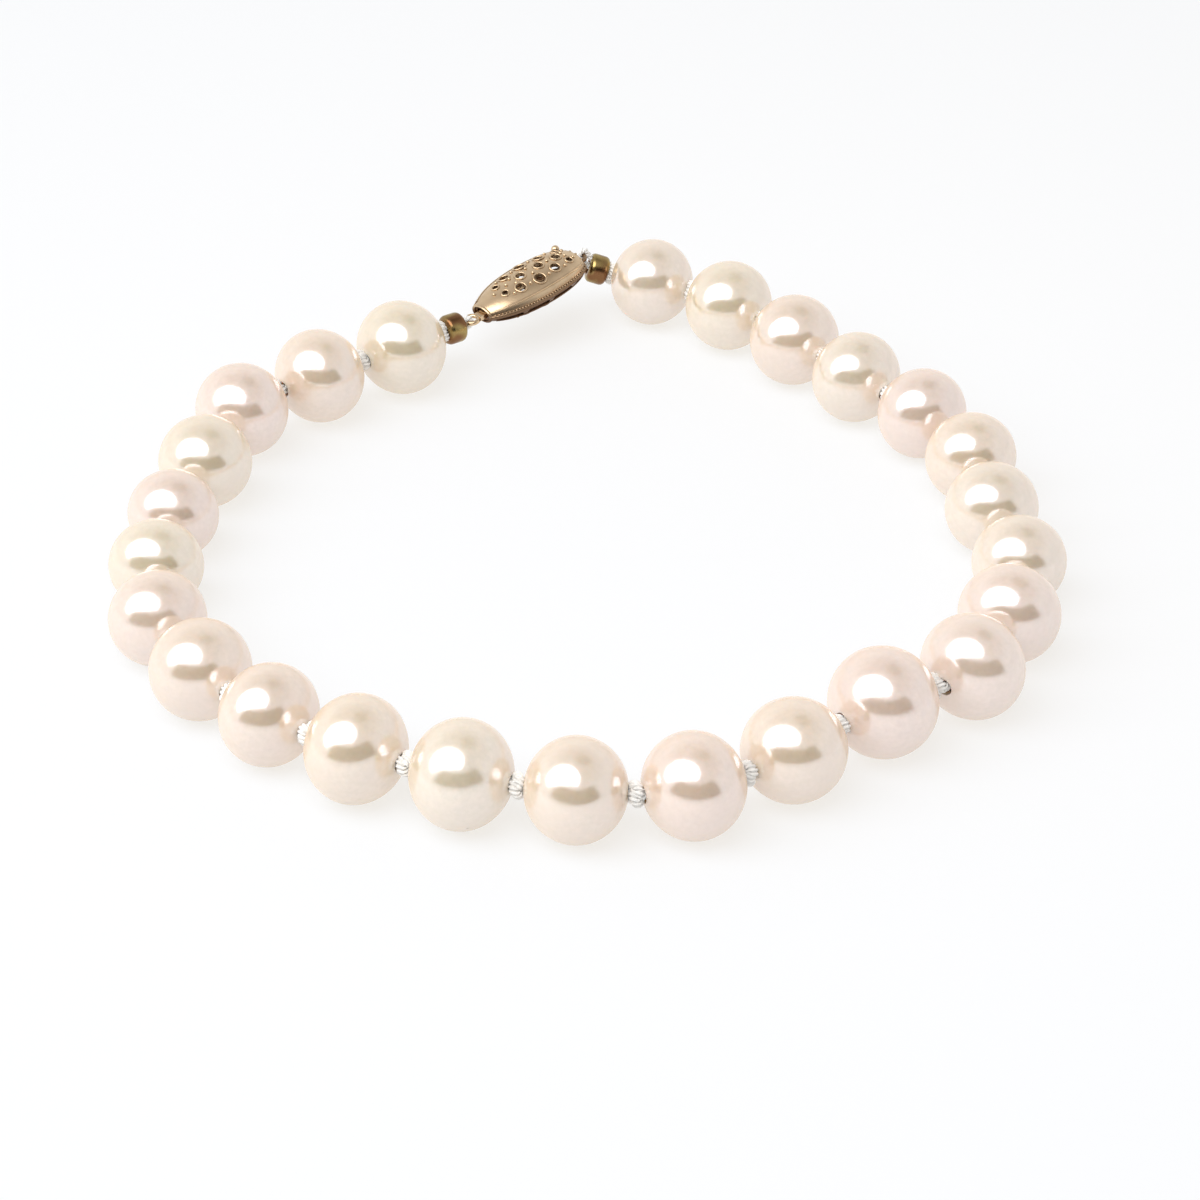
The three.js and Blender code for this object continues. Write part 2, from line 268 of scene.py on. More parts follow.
def farthest(node, start):
    points = points_of(node)
    return Vector(points[np.argmax(np.linalg.norm(points - np.array(start), axis=1))])


def turned_to(axis, centre):
    """A matrix that lays a shape's own Z along an axis, at a centre."""
    return Matrix.Translation(centre) @ axis.to_track_quat("Z", "Y").to_matrix().to_4x4()


def clasp_matrix(clasp):
    """The clasp's own frame: X from the hook's ring to the case's ring, Z as upright as that allows."""
    case_tip = farthest("clasp_case", centre_of("clasp_hook"))
    hook_tip = farthest("clasp_hook", centre_of("clasp_case"))
    along = (case_tip - hook_tip).normalized()
    side = UP.cross(along).normalized()
    top = along.cross(side)
    origin = hook_tip + along * (clasp.ring + clasp.ring_wire / 2 - HOOK_RING_X)
    turn = Matrix((along, side, top)).transposed().to_4x4()
    return Matrix.Translation(origin) @ turn


# The clasp in its own frame: the tables of places and sizes are in millimetres, and the values
# with a unit beside them are in metres.
CASE_SECTIONS = [
    {"x": -4.5, "half_width": 0.95},
    {"x": -3.7, "half_width": 1.5},
    {"x": -2.2, "half_width": 2.05},
    {"x": 0.2, "half_width": 2.3},
    {"x": 2.6, "half_width": 2.15},
    {"x": 4.0, "half_width": 1.75},
    {"x": 4.8, "half_width": 1.2},
]
HOOK_RING_X = -5.55 * MM
CASE_RING_X = 5.05 * MM

# Round openings of the filigree; a row off the long axis is made on both sides.
PIERCINGS = [
    {"x": -0.6, "y": 0, "radius": 0.34},
    {"x": 1.2, "y": 0, "radius": 0.34},
    {"x": 2.9, "y": 0, "radius": 0.34},
    {"x": -1.4, "y": 0.95, "radius": 0.36},
    {"x": 0.3, "y": 1.15, "radius": 0.42},
    {"x": 2.0, "y": 0.95, "radius": 0.36},
    {"x": -2.6, "y": 0.55, "radius": 0.22},
    {"x": 3.5, "y": 0.8, "radius": 0.24},
]

# Gold grains between the openings, on both faces and both sides.
GRAINS = [
    {"x": -2.0, "y": 0},
    {"x": -1.35, "y": 0.4},
    {"x": 0.3, "y": 0.42},
    {"x": 2.05, "y": 0},
    {"x": 3.6, "y": 0.25},
    {"x": -0.55, "y": 1.1},
    {"x": 1.2, "y": 1.2},
    {"x": -2.1, "y": 1.05},
    {"x": 2.8, "y": 1.15},
    {"x": 4.05, "y": 0.65},
    {"x": -3.2, "y": 0},
]

# Long openings low on both sides of the case, under its seam.
SIDE_SLOTS = [
    {"x": -3.05, "length": 1.9},
    {"x": -0.75, "length": 2.0},
    {"x": 1.6, "length": 2.0},
    {"x": 3.7, "length": 1.4},
]
SLOT_DEPTH = 0.5 * MM
SLOT_HEIGHT = 0.5 * MM
KNOB_PLACE = {"x": 3.9, "y": 1.15}
FACES = (1, -1)


def mirrored(rows):
    """Each row with the Y of each side that it is made on: once where it lies on the long axis."""
    return [(row, side) for row in rows for side in {row["y"], -row["y"]}]


# ---- modelling helpers -----------------------------------------------------------------------


def only(*objects):
    """Selects just these objects, the last one active."""
    bpy.ops.object.select_all(action="DESELECT")
    for item in objects:
        item.select_set(True)
    bpy.context.view_layer.objects.active = objects[-1]
    return objects[-1]


def begin_edit(kind="FACE"):
    bpy.ops.object.mode_set(mode="EDIT")
    bpy.ops.mesh.select_mode(type=kind)


def end_edit():
    bpy.ops.object.mode_set(mode="OBJECT")


def pick_faces(wanted):
    """In edit mode, selects just the faces whose centre and normal pass the test."""
    bpy.ops.mesh.select_all(action="DESELECT")
    mesh = bpy.context.object.data
    shape = bmesh.from_edit_mesh(mesh)
    for face in shape.faces:
        face.select_set(bool(wanted(face.calc_center_median(), face.normal)))
    bmesh.update_edit_mesh(mesh)


def pick_edges(wanted):
    """In edit mode, selects just the edges whose two ends pass the test."""
    bpy.ops.mesh.select_all(action="DESELECT")
    mesh = bpy.context.object.data
    shape = bmesh.from_edit_mesh(mesh)
    for edge in shape.edges:
        edge.select_set(bool(wanted(edge.verts[0].co, edge.verts[1].co)))
    bmesh.update_edit_mesh(mesh)


def use_modifier(kind, **settings):
    """Adds a modifier to the active object and applies it."""
    item = bpy.context.object
    modifier = item.modifiers.new(kind.title(), kind)
    for name, value in settings.items():
        setattr(modifier, name, value)
    bpy.ops.object.modifier_apply(modifier=modifier.name)


def smooth_by_subdivision(levels):
    use_modifier("SUBSURF", levels=levels, render_levels=levels)


def put(item, matrix):
    """Moves an object and keeps the place in its mesh."""
    only(item)
    item.matrix_world = matrix @ item.matrix_world
    bpy.ops.object.transform_apply(location=True, rotation=True, scale=True)
    return item


def copy_at(template, matrix):
    only(template)
    bpy.ops.object.duplicate(linked=False)
    return put(bpy.context.object, matrix)


def join(items):
    only(*items)
    bpy.ops.object.join()
    return bpy.context.object


def discard(item):
    only(item)
    bpy.ops.object.delete()


def finish_piece(item, name, material, *nodes):
    """Names a finished piece, gives it its finish and stands it in for its construction nodes."""
    item.name = name
    item.data.name = name
    item.data.materials.clear()
    item.data.materials.append(material)
    only(item)
    bpy.ops.object.shade_smooth_by_angle(angle=SMOOTH_ANGLE)
    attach(item, "root")
    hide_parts(*nodes)
    return item


def drill(radius):
    """In edit mode, opens both poles of a ball or barrel on Z and joins the two mouths by a wall."""
    pick_faces(lambda centre, normal: math.hypot(centre.x, centre.y) < radius)
    bpy.ops.mesh.delete(type="FACE")
    bpy.ops.mesh.select_mode(type="EDGE")
    bpy.ops.mesh.select_non_manifold()
    bpy.ops.mesh.bridge_edge_loops()
    bpy.ops.mesh.select_all(action="SELECT")
    bpy.ops.mesh.normals_make_consistent(inside=False)


# ---- materials -------------------------------------------------------------------------------


def add_node(tree, kind, inputs=None, **settings):
    """Adds a shader node, sets it, and links or sets its inputs."""
    made = tree.nodes.new(kind)
    for name, value in settings.items():
        setattr(made, name, value)
    for name, value in (inputs or {}).items():
        if isinstance(value, bpy.types.NodeSocket):
            tree.links.new(value, made.inputs[name])
        else:
            made.inputs[name].default_value = value
    return made


def new_material(name):
    material = bpy.data.materials.new(name)
    material.use_nodes = True
    tree = material.node_tree
    return material, tree, tree.nodes["Principled BSDF"]


def set_shader(shader, **values):
    for name, value in values.items():
        shader.inputs[name.replace("_", " ").title().replace("Ior", "IOR")].default_value = value


def mottle(tree, place, scale, detail=2.0, roughness=0.5):
    inputs = {"Vector": place, "Scale": scale, "Detail": detail, "Roughness": roughness}
    return add_node(tree, "ShaderNodeTexNoise", inputs).outputs["Fac"]


def ramp(tree, value, low, high):
    inputs = {"Value": value, "From Min": low, "From Max": high}
    return add_node(tree, "ShaderNodeMapRange", inputs, clamp=True).outputs["Result"]


def mixed(tree, factor, first, second):
    made = add_node(tree, "ShaderNodeMix", data_type="RGBA")
    for index, value in ((0, factor), (6, first), (7, second)):
        if isinstance(value, bpy.types.NodeSocket):
            tree.links.new(value, made.inputs[index])
        else:
            made.inputs[index].default_value = value
    return made.outputs[2]


def object_place(tree):
    return add_node(tree, "ShaderNodeTexCoord").outputs["Object"]


def bump(tree, height, strength, distance, under=None):
    inputs = {"Height": height, "Strength": strength, "Distance": distance}
    if under:
        inputs["Normal"] = under
    return add_node(tree, "ShaderNodeBump", inputs).outputs["Normal"]


def opaque(rgb, factor=1.0):
    return (*(min(1.0, part * factor) for part in rgb), 1.0)


def toned(rgb, tone):
    """A pearl's body colour: leaned to rose or to green, and made fuller or paler; the paling is partly
    painted light.
    """
    red, green, blue = rgb
    rose = tone["rose"] * 0.03
    # Painted light in part: the paling also lightens pearls that come out less lit.
    depth = tone["depth"] * 0.05
    return (red - rose * 0.2, green - rose - depth * 0.55, blue + rose * 0.4 - depth)


def nacre(name, rgb, look):
    """Layered nacre: a satin mirror over a milky body, with soft clouds, fine grain and rare pits."""
    material, tree, shader = new_material(name)
    place = object_place(tree)
    clouds = mottle(tree, place, 260.0)
    body = mixed(tree, ramp(tree, clouds, 0.36, 0.66), opaque(rgb), opaque(rgb, 1.06))
    grain = mottle(tree, place, 2600.0, detail=3.0)
    body = mixed(tree, ramp(tree, grain, 0.3, 0.8), body, opaque(rgb, 0.95))
    inputs = {"Vector": place, "Scale": 210.0}
    cells = add_node(tree, "ShaderNodeTexVoronoi", inputs).outputs["Distance"]
    pits = ramp(tree, cells, 0.025, 0.012)
    body = mixed(tree, pits, body, opaque(rgb, 0.45))
    tree.links.new(body, shader.inputs["Base Color"])
    swell = bump(tree, mottle(tree, place, 420.0, detail=1.0), 0.24, 0.00012)
    fine = bump(tree, grain, 0.1, 0.00002, swell)
    dent = add_node(tree, "ShaderNodeMath", {0: 1.0, 1: pits}, operation="SUBTRACT").outputs[0]
    tree.links.new(bump(tree, dent, 0.5, 0.00005, fine), shader.inputs["Normal"])
    satin = add_node(
        tree, "ShaderNodeMapRange",
        {"Value": clouds, "To Min": look.satin - 0.04, "To Max": look.satin + 0.04},
    )
    tree.links.new(satin.outputs["Result"], shader.inputs["Roughness"])
    set_shader(
        shader, ior=look.lustre, subsurface_weight=0.35, subsurface_scale=0.0012,
        coat_weight=0.7, coat_roughness=look.skin, coat_ior=1.9,
        sheen_weight=0.45, sheen_roughness=0.5,
    )
    shader.inputs["Sheen Tint"].default_value = (1.0, 0.8, 0.6, 1.0)
    shader.inputs["Specular Tint"].default_value = (0.88, 0.88, 1.0, 1.0)
    shader.inputs["Subsurface Radius"].default_value = (1.0, 0.75, 0.5)
    shader.inputs["Coat Tint"].default_value = (1.0, 0.95, 0.875, 1.0)
    return material


def silk(name, rgb):
    """White twisted silk with a soft unevenness of tone and a fine fibrous grain."""
    material, tree, shader = new_material(name)
    place = object_place(tree)
    fibres = mottle(tree, place, 9000.0, detail=3.0, roughness=0.7)
    tone = mottle(tree, place, 1400.0)
    hue = mixed(tree, ramp(tree, tone, 0.3, 0.7), opaque(rgb), opaque(rgb, 1.05))
    tree.links.new(hue, shader.inputs["Base Color"])
    tree.links.new(bump(tree, fibres, 0.25, 0.00002), shader.inputs["Normal"])
    set_shader(shader, roughness=0.55, specular_ior_level=0.4, sheen_weight=0.4)
    return material


def gold(name, rgb, tarnish_and_painted_shade, polish, tint=None):
    """Soft gold, scratched and hammered, darkened low down by painted shade and tarnished where its wires
    and walls meet.
    """
    material, tree, shader = new_material(name)
    place = object_place(tree)
    patches = mottle(tree, place, 900.0, detail=3.0)
    face = mixed(tree, ramp(tree, patches, 0.35, 0.7), opaque(rgb), opaque(rgb, 0.82))
    if tint:
        clouds = mottle(tree, place, 620.0, detail=1.0)
        face = mixed(tree, ramp(tree, clouds, 0.42, 0.58), opaque(tint), face)
    # Painted shade: where the mesh marks it, the lower half of the case is darkened towards the tarnish
    # colour.
    painted_shade = add_node(tree, "ShaderNodeAttribute", attribute_name=PAINTED_SHADE_ATTRIBUTE).outputs["Fac"]
    face = mixed(tree, painted_shade, face, opaque(tarnish_and_painted_shade))
    hollow = add_node(
        tree, "ShaderNodeAmbientOcclusion", {"Distance": 0.0005}, samples=6, only_local=True
    )
    worn = mixed(tree, ramp(tree, hollow.outputs["AO"], 0.25, 0.85), opaque(tarnish_and_painted_shade), face)
    tree.links.new(worn, shader.inputs["Base Color"])
    scratches = mottle(tree, place, 6000.0, detail=4.0, roughness=0.65)
    dents = bump(tree, patches, 0.25, 0.00006)
    tree.links.new(bump(tree, scratches, 0.25, 0.00001, dents), shader.inputs["Normal"])
    rough = add_node(
        tree, "ShaderNodeMapRange",
        {"Value": patches, "To Min": polish - 0.06, "To Max": polish + 0.1},
    )
    tree.links.new(rough.outputs["Result"], shader.inputs["Roughness"])
    set_shader(shader, metallic=1.0)
    return material


def table_top(name, rgb, glow):
    """Matt pale board with a barely visible grain, and painted light: it glows by itself, warmest and
    brightest near the middle.
    """
    material, tree, shader = new_material(name)
    place = object_place(tree)
    grain = mottle(tree, place, 900.0, detail=3.0)
    hue = mixed(tree, ramp(tree, grain, 0.2, 0.8), opaque(rgb), opaque(rgb, 1.01))
    tree.links.new(hue, shader.inputs["Base Color"])
    set_shader(shader, roughness=0.7, specular_ior_level=0.2, emission_strength=glow)
    # Painted pool of light: the glow is warmest and brightest near the middle of the table.
    away = add_node(tree, "ShaderNodeVectorMath", {0: place}, operation="LENGTH").outputs["Value"]
    warm, cool = (1.0, 0.955, 0.885, 1.0), (0.96, 0.925, 0.865, 1.0)
    light = mixed(tree, ramp(tree, away, 0.045, 0.12), warm, cool)
    tree.links.new(light, shader.inputs["Emission Color"])
    return material


# ---- the stage -------------------------------------------------------------------------------


class BRACELET_OT_studio(bpy.types.Operator):
    """Sets the table, the camera, the overhead softbox and the pale room"""

    bl_idname = "bracelet.studio"
    bl_label = "Studio"

    def execute(self, context):
        settings = context.scene.bracelet_studio
        self.camera(context, settings)
        self.table(settings)
        self.softbox(settings)
        self.room(context, settings)
        context.scene.view_settings.view_transform = "Standard"
        return {"FINISHED"}

    def camera(self, context, settings):
        turn = (math.pi / 2 - settings.pitch, 0, -settings.yaw)
        bpy.ops.object.camera_add(location=settings.eye, rotation=turn)
        camera = context.object
        camera.name = "camera"
        camera.data.lens = settings.lens
        camera.data.sensor_width = 36
        camera.data.clip_start = 0.01
        context.scene.camera = camera

    def table(self, settings):
        """A wide flat board that sweeps up far behind."""
        half = 3.0
        bpy.ops.mesh.primitive_plane_add(size=2 * half)
        begin_edit("EDGE")
        pick_edges(lambda first, second: first.y > half - 0.1 and second.y > half - 0.1)
        bpy.ops.mesh.extrude_region_move(TRANSFORM_OT_translate={"value": (0, 0, 2)})
        pick_edges(lambda first, second: min(first.y, second.y) > half - 0.1
                   and max(first.z, second.z) < 0.1)
        bpy.ops.mesh.bevel(offset=0.8, segments=12)
        end_edit()
        board = bpy.context.object
        board.name = "table"
        board.data.materials.append(table_top("table", settings.floor, settings.glow))
        bpy.ops.object.shade_smooth()

    def softbox(self, settings):
        """A wide softbox overhead, to the left and a little in front, domed above and level below."""
        place = Vector((-0.27, -0.19, 0.5))
        back = place.normalized()
        level = Vector((1, -0.2, 0))
        across = (level - back * back.dot(level)).normalized()
        turn = Matrix((across, back.cross(across), back)).transposed()
        bpy.ops.object.light_add(type="AREA", location=place, rotation=turn.to_euler())
        box = bpy.context.object
        box.name = "softbox"
        box.data.shape = "RECTANGLE"
        box.data.size = 1.0
        box.data.size_y = 0.48
        box.data.energy = settings.softbox_power
        box.data.color = (1.0, 0.995, 0.985)
        box.data.use_nodes = True
        self.dome(box.data.node_tree)

    def dome(self, tree):
        """Masks the softbox to an oval whose lower end is cut off level."""
        spot = add_node(tree, "ShaderNodeNewGeometry").outputs["Parametric"]
        centred = add_node(
            tree, "ShaderNodeMapping",
            {"Vector": spot, "Location": (-1.0, -0.44, 0), "Scale": (2.0, 1.44, 0)},
        )
        reach = add_node(
            tree, "ShaderNodeVectorMath", {0: centred.outputs[0]}, operation="LENGTH"
        ).outputs["Value"]
        lit = self.window(tree, reach, 1.0, 0.94)
        tree.links.new(lit, tree.nodes["Emission"].inputs["Strength"])

    def room(self, context, settings):
        """A pale room, darker low down behind the camera and over the table's right side."""
        world = bpy.data.worlds.new("room")
        world.use_nodes = True
        tree = world.node_tree
        direction = add_node(tree, "ShaderNodeTexCoord").outputs["Generated"]
        parts = add_node(tree, "ShaderNodeSeparateXYZ", {"Vector": direction}).outputs
        front = add_node(tree, "ShaderNodeMath", {0: 0.0, 1: parts["Y"]}, operation="SUBTRACT")
        opening = self.window(tree, front.outputs[0], 0.42, 0.6)
        above = self.window(tree, parts["Z"], 0.07, 0.16)
        below = self.window(tree, parts["Z"], 0.66, 0.56)
        dark = add_node(tree, "ShaderNodeMath", {0: opening, 1: above}, operation="MULTIPLY")
        dark = add_node(tree, "ShaderNodeMath", {0: dark.outputs[0], 1: below}, operation="MULTIPLY")
        ceiling = self.window(tree, parts["Z"], 0.35, 0.95)
        room = settings.room
        walls = opaque((0.97 * room, 0.985 * room, room))
        shade = opaque((0.62 * room, 0.6 * room, 0.6 * room))
        pale = mixed(tree, ceiling, walls, shade)
        towards = add_node(
            tree, "ShaderNodeVectorMath", {0: direction, 1: (0.26, 0.24, 0.935)},
            operation="DOT_PRODUCT",
        ).outputs["Value"]
        spot = self.window(tree, towards, 0.95, 0.99)
        pale = mixed(tree, spot, pale, opaque((0.35 * room, 0.34 * room, 0.32 * room)))
        hue = mixed(tree, dark.outputs[0], pale, (0.03, 0.028, 0.025, 1))
        tree.links.new(hue, tree.nodes["Background"].inputs["Color"])
        context.scene.world = world

    def window(self, tree, value, low, high):
        inputs = {"Value": value, "From Min": low, "From Max": high}
        made = add_node(tree, "ShaderNodeMapRange", inputs, interpolation_type="SMOOTHSTEP")
        return made.outputs["Result"]


# ---- pearls ----------------------------------------------------------------------------------


class BRACELET_OT_pearls(bpy.types.Operator):
    """Turns and drills the pearls, each with its own uneven skin and tone"""

    bl_idname = "bracelet.pearls"
    bl_label = "Pearls"

    def execute(self, context):
        sizes = context.scene.bracelet_sizes
        look = context.scene.bracelet_nacre
        template = self.drilled_ball(sizes)
        skin = bpy.data.textures.new("growth", "CLOUDS")
        skin.noise_scale = sizes.growth_width
        skin.noise_depth = 1
        skin.noise_basis = "IMPROVED_PERLIN"
        colours = {"nacre_cream": look.cream, "nacre_peach": look.peach, "nacre_rose": look.rose}
        for place, tone in zip(string_places(sizes.bore), TONES, strict=True):
            size = (place.diameter, place.diameter, place.length)
            matrix = turned_to(place.axis, place.centre) @ Matrix.Diagonal((*size, 1))
            pearl = copy_at(template, matrix)
            use_modifier(
                "DISPLACE", texture=skin, texture_coords="GLOBAL", strength=sizes.growth,
                mid_level=GROWTH_LEVEL,
            )
            name = place.node.replace("pearl", "nacre")
            finish = nacre(name, toned(colours[SLOTS[place.node]], tone), look)
            finish_piece(pearl, name, finish, place.node)
        discard(template)
        return {"FINISHED"}

    def drilled_ball(self, sizes):
        """A ball one metre across with a hole along Z, to be sized for each pearl."""
        mean = sum(place.diameter for place in string_places(sizes.bore)) / len(PEARL_NODES)
        bore = sizes.bore / mean
        bpy.ops.mesh.primitive_uv_sphere_add(segments=72, ring_count=40, radius=0.5)
        begin_edit()
        drill(bore / 2)
        pick_edges(lambda first, second: abs(first.z - second.z) < 1e-4
                   and math.hypot(first.x, first.y) < bore / 2 + 0.01)
        bpy.ops.mesh.bevel(offset=sizes.bore_edge / mean, segments=3)
        end_edit()
        return bpy.context.object


# ---- silk ------------------------------------------------------------------------------------


def path_length(points, closed):
    stops = [*points, points[0]] if closed else points
    return sum((second - first).length for first, second in zip(stops, stops[1:]))


def lay_cord(points, closed, diameter, twist, plies):
    """Twists a straight cord along X, repeats it to the path's length and lays it along the path."""
    steps = 10
    whole = path_length(points, closed)
    turns = max(1, round(whole / twist))
    step = whole / turns / steps
    strand = diameter / (1 + 1 / math.sin(math.pi / plies)) / 2
    reach = diameter / 2 - strand
    for ply in range(plies):
        angle = TURN * ply / plies
        place = (0, reach * math.cos(angle), reach * math.sin(angle))
        bpy.ops.mesh.primitive_circle_add(
            vertices=PLY_SIDES, radius=strand * PLY_SWELL, location=place, rotation=(0, math.pi / 2, 0)
        )
        if ply == 0:
            begin_edit("VERT")
    bpy.ops.mesh.select_all(action="SELECT")
    for _ in range(steps):
        bpy.ops.mesh.extrude_region_move(TRANSFORM_OT_translate={"value": (step, 0, 0)})
        bpy.ops.transform.rotate(value=TURN / steps, orient_axis="X", center_override=(0, 0, 0))
    end_edit()
    cord = bpy.context.object
    put(cord, Matrix.Identity(4))
    use_modifier(
        "ARRAY", count=turns, use_relative_offset=False, use_constant_offset=True,
        constant_offset_displace=(whole / turns, 0, 0), use_merge_vertices=True,
        merge_threshold=WELD,
    )
    path = path_curve(points, closed)
    only(cord)
    use_modifier("CURVE", object=path, deform_axis="POS_X")
    discard(path)
    only(cord)
    begin_edit("EDGE")
    bpy.ops.mesh.select_all(action="SELECT")
    bpy.ops.mesh.remove_doubles(threshold=WELD)
    bpy.ops.mesh.select_all(action="DESELECT")
    bpy.ops.mesh.select_non_manifold()
    bpy.ops.mesh.fill_holes(sides=PLY_SIDES)
    bpy.ops.mesh.select_all(action="SELECT")
    bpy.ops.mesh.normals_make_consistent(inside=False)
    end_edit()
    return cord


def path_curve(points, closed):
    data = bpy.data.curves.new("path", "CURVE")
    data.dimensions = "3D"
    line = data.splines.new("POLY")
    line.points.add(len(points) - 1)
    for made, point in zip(line.points, points):
        made.co = (*point, 1)
    line.use_cyclic_u = closed
    path = bpy.data.objects.new("path", data)
    bpy.context.scene.collection.objects.link(path)
    return path


class BRACELET_OT_silk(bpy.types.Operator):
    """Lays the twisted silk through the pearls and beads, and ties a knot in each gap"""

    bl_idname = "bracelet.silk"
    bl_label = "Silk and knots"

    def execute(self, context):
        sizes = context.scene.bracelet_sizes
        clasp = context.scene.bracelet_clasp
        pearls = string_places(sizes.bore)
        beads = [
            bead_place("end_bead_hook", pearls[0], sizes),
            bead_place("end_bead_case", pearls[-1], sizes),
        ]
        finish = silk("twisted_silk", context.scene.bracelet_metal.silk)
        knots = self.knots(pearls, beads, sizes)
        place = clasp_matrix(clasp)
        routes = [
            (self.string_route(pearls, beads), sizes.thread),
            (self.loop(place, HOOK_RING_X, -1, beads[0], sizes, clasp), sizes.loop_thread),
            (self.loop(place, CASE_RING_X, 1, beads[1], sizes, clasp), sizes.loop_thread),
        ]
        cords = [lay_cord(route, False, thick, sizes.twist, sizes.plies) for route, thick in routes]
        finish_piece(knots, "silk_knots", finish, "silk_thread")
        finish_piece(join(cords), "silk_cord", finish, "silk_thread")
        return {"FINISHED"}

    def gaps(self, pearls, beads):
        """The middle and direction of each gap: before the first pearl, between pearls, after the last."""
        starts = [beads[0].centre - beads[0].axis * beads[0].length / 2]
        starts += [pearl.centre + pearl.axis * pearl.length / 2 for pearl in pearls]
        ends = [pearl.centre - pearl.axis * pearl.length / 2 for pearl in pearls]
        ends += [beads[1].centre - beads[1].axis * beads[1].length / 2]
        directions = [(pearls[0].axis - beads[0].axis).normalized()]
        directions += [(a.axis + b.axis).normalized() for a, b in zip(pearls, pearls[1:])]
        directions.append((pearls[-1].axis + beads[1].axis).normalized())
        return [((start + end) / 2, way) for start, end, way in zip(starts, ends, directions)]

    def knots(self, pearls, beads, sizes):
        template = self.overhand_knot(sizes)
        made = []
        for index, (middle, direction) in enumerate(self.gaps(pearls, beads)):
            turn = Matrix.Rotation(index * GOLDEN_ANGLE, 4, "Z")
            made.append(copy_at(template, turned_to(direction, middle) @ turn))
        discard(template)
        return join(made)

    def overhand_knot(self, sizes):
        """Three crossing strands pulled tight round the thread, with the thread's line along Z."""
        steps = 72
        outer = sizes.knot_width / 2 - sizes.knot_thread / 2
        coil = outer / 3
        rise = sizes.knot_length / 2 - sizes.knot_thread / 2
        points = []
        for step in range(steps):
            angle = TURN * step / steps
            reach = coil * (2 + math.cos(3 * angle))
            x = reach * math.cos(2 * angle)
            y = reach * math.sin(2 * angle)
            points.append(Vector((x, y, rise * math.sin(3 * angle))))
        return lay_cord(points, True, sizes.knot_thread, sizes.twist * 0.6, sizes.plies)

    def string_route(self, pearls, beads):
        """The thread's line from bead to bead, straight through each pearl."""
        ends = [bead.centre - bead.axis * bead.length / 2 for bead in beads]
        middle = []
        for pearl in pearls:
            reach = pearl.axis * pearl.length / 2
            middle += [pearl.centre - reach, pearl.centre, pearl.centre + reach]
        return [ends[0], *middle, ends[1]]

    def loop(self, frame_of_clasp, ring_x, outward, bead, sizes, clasp):
        """From the bead's inner face out through it, round the ring's wire and back into the bead."""
        wire = frame_of_clasp @ Vector((ring_x + outward * clasp.ring, 0, 0))
        along = (bead.centre - wire).normalized()
        side = (frame_of_clasp.to_3x3() @ Vector((0, 1, 0))).normalized()
        upward = along.cross(side).normalized()
        radius = clasp.ring_wire / 2 + sizes.loop_thread / 2 + 0.01 * MM
        inner = bead.centre - bead.axis * bead.length / 2
        apart = upward * sizes.loop_thread * 0.5
        turn = [
            wire + along * radius * math.cos(angle) + upward * radius * math.sin(angle)
            for angle in np.linspace(math.radians(60), math.radians(300), 16)
        ]
        return [inner, bead.centre + apart, *turn, bead.centre - apart]


# ---- gold beads ------------------------------------------------------------------------------


class BRACELET_OT_beads(bpy.types.Operator):
    """Turns the two small gold beads beside the clasp"""

    bl_idname = "bracelet.beads"
    bl_label = "Gold beads"

    def execute(self, context):
        sizes = context.scene.bracelet_sizes
        metal = context.scene.bracelet_metal
        pearls = string_places(sizes.bore)
        template = self.barrel(sizes)
        finish = gold("bead_gold", metal.bead, metal.tarnish_and_painted_shade, 0.24, metal.amber)
        for node, pearl in (("end_bead_hook", pearls[0]), ("end_bead_case", pearls[-1])):
            place = bead_place(node, pearl, sizes)
            bead = copy_at(template, turned_to(place.axis, place.centre))
            finish_piece(bead, node.replace("end_bead", "gold_bead"), finish, node)
        discard(template)
        return {"FINISHED"}

    def barrel(self, sizes):
        """A short barrel with inset ends, a bore along Z and a rounded edge at each mouth."""
        half = sizes.bead_length / 2
        bpy.ops.mesh.primitive_cylinder_add(vertices=48, radius=sizes.bead_width / 2, depth=2 * half)
        begin_edit()
        pick_faces(lambda centre, normal: abs(normal.z) > 0.9)
        bpy.ops.mesh.inset(thickness=(sizes.bead_width - sizes.bead_face) / 2)
        bpy.ops.mesh.inset(thickness=(sizes.bead_face - sizes.bead_bore) / 2)
        pick_faces(lambda centre, normal: math.hypot(centre.x, centre.y) < sizes.bead_bore / 4)
        bpy.ops.mesh.delete(type="FACE")
        bpy.ops.mesh.select_mode(type="EDGE")
        bpy.ops.mesh.select_non_manifold()
        bpy.ops.mesh.bridge_edge_loops()
        rim = sizes.bead_width / 2 - 0.02 * MM
        pick_edges(lambda first, second: abs(first.z - second.z) < 1e-6
                   and min(first.to_2d().length, second.to_2d().length) > rim)
        bpy.ops.mesh.bevel(offset=(sizes.bead_width - sizes.bead_face) / 2 * 0.95, segments=6)
        pick_edges(lambda first, second: abs(first.z - second.z) < 1e-6
                   and max(first.to_2d().length, second.to_2d().length) < sizes.bead_bore / 2 + 0.02 * MM)
        bpy.ops.mesh.bevel(offset=0.06 * MM, segments=3)
        bpy.ops.mesh.select_all(action="SELECT")
        bpy.ops.mesh.normals_make_consistent(inside=False)
        end_edit()
        return bpy.context.object


# ---- clasp -----------------------------------------------------------------------------------


def ring_of(radius, wire, centre, turn=(0, 0, 0)):
    bpy.ops.mesh.primitive_torus_add(
        major_radius=radius, minor_radius=wire / 2, major_segments=40, minor_segments=14,
        location=centre, rotation=turn,
    )
    return bpy.context.object


